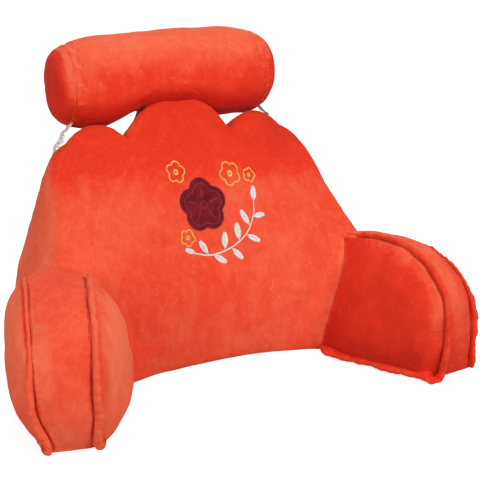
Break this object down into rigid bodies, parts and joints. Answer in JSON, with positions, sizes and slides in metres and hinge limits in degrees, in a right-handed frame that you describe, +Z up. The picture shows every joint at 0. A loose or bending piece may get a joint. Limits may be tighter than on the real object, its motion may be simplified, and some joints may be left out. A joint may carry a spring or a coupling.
{
  "type": "bed-rest lumbar cushion with arms and neck roll",
  "caption": "Stuffed plush back cushion with a scalloped top, splayed padded arms edged by raised seams, and a neck roll carried on adjustable webbing.",
  "frame": {"origin": "on the floor, on the plane of symmetry, under the back cushion", "axes": "+Z up, the sitter faces -Y, +X to the right as seen from the front"},
  "size_m": [0.8143, 0.598, 0.5409],
  "materials": {
    "plush": "short-pile velvet plush, orange red",
    "webbing": "pale grey woven webbing",
    "slider_plastic": "off-white moulded plastic",
    "applique": "flat maroon felt with a satin-stitched edge"
  },
  "bodies": {
    "root": {"back_cushion": "plush", "right_arm": "plush", "left_arm": "plush", "right_arm_inner_seam": "plush", "left_arm_inner_seam": "plush", "right_arm_outer_seam": "plush", "left_arm_outer_seam": "plush", "neck_roll": "plush", "right_end_strap": "webbing", "left_end_strap": "webbing", "right_notch_strap": "webbing", "left_notch_strap": "webbing", "right_slider": "slider_plastic", "left_slider": "slider_plastic", "blossom_applique": "applique"}
  },
  "joints": []
}
